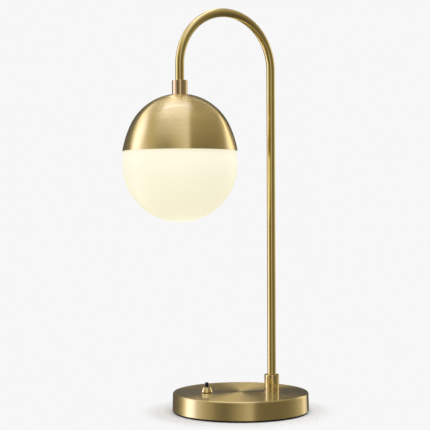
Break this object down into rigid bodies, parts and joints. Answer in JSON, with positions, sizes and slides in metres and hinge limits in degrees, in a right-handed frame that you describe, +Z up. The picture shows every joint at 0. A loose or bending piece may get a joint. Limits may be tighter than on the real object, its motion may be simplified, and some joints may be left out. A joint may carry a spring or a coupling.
{
  "type": "desk lamp",
  "caption": "Desk lamp with a round weighted brass base, a hooked tube arm and an opal ball globe in a brass dome, with a push button on the base.",
  "frame": {"origin": "centre of the underside of the foot pad, on the surface that the lamp stands on", "axes": "+Z up; the arm lies in the XZ plane, with the post at +X and the shade at -X"},
  "size_m": [0.2288, 0.16, 0.47],
  "materials": {
    "satin_brass": "brushed, lacquered",
    "polished_brass": "polished, lacquered",
    "contact_brass": "bare",
    "opal_glass": "opal white, gloss",
    "bulb_glass": "frosted",
    "nickel": "nickel plated",
    "zinc_steel": "zinc plated",
    "cast_ballast": "as cast, primed",
    "black_foam": "matte",
    "black_rubber": "satin",
    "black_button": "gloss",
    "black_moulding": "satin",
    "white_moulding": "matte",
    "lead_sheath": "satin",
    "core_blue": "satin",
    "core_brown": "satin"
  },
  "bodies": {
    "stand": {"shade_dome": "satin_brass", "base_shell": "satin_brass", "arm_tube": "satin_brass", "glass_fitter": "satin_brass", "post_collar": "polished_brass", "shade_coupler": "polished_brass", "switch_bezel": "polished_brass", "switch_terminals": "contact_brass", "holder_thread": "contact_brass", "holder_contact": "contact_brass", "bottom_plate": "zinc_steel", "plate_screws": "zinc_steel", "foot_nipple": "zinc_steel", "post_washer": "zinc_steel", "post_nut": "zinc_steel", "switch_back_nut": "zinc_steel", "switch_spring": "zinc_steel", "block_screws": "zinc_steel", "shade_nipple": "zinc_steel", "dome_washer": "zinc_steel", "fitter_spacer": "zinc_steel", "fitter_nut": "zinc_steel", "holder_screws": "zinc_steel", "ballast": "cast_ballast", "foot_pad": "black_foam", "cord_grommet": "black_rubber", "fitter_gasket": "black_rubber", "switch_body": "black_moulding", "holder_cap": "black_moulding", "holder_body": "black_moulding", "terminal_block": "white_moulding", "holder_insert": "white_moulding", "arm_lead": "lead_sheath", "lead_cores": "core_blue", "switch_wires": "core_brown"},
    "button": {"switch_button": "black_button"},
    "globe": {"glass_globe": "opal_glass"},
    "bulb": {"bulb_envelope": "bulb_glass", "bulb_cap": "nickel", "bulb_insulator": "black_moulding", "bulb_tip": "nickel"}
  },
  "joints": [
    {"name": "switch_press", "type": "slide", "parent": "stand", "child": "button", "axis": [0, 0, -1], "range_m": [0, 0.003], "stiffness_N_per_m": 300, "springref_m": -0.004, "deforming": ["switch_spring"]},
    {"name": "globe_lower", "type": "slide", "parent": "stand", "child": "globe", "axis": [0, 0, -1], "range_m": [0, 0.11]},
    {"name": "bulb_out", "type": "slide", "parent": "stand", "child": "bulb", "axis": [0, 0, -1], "range_m": [0, 0.02]}
  ]
}
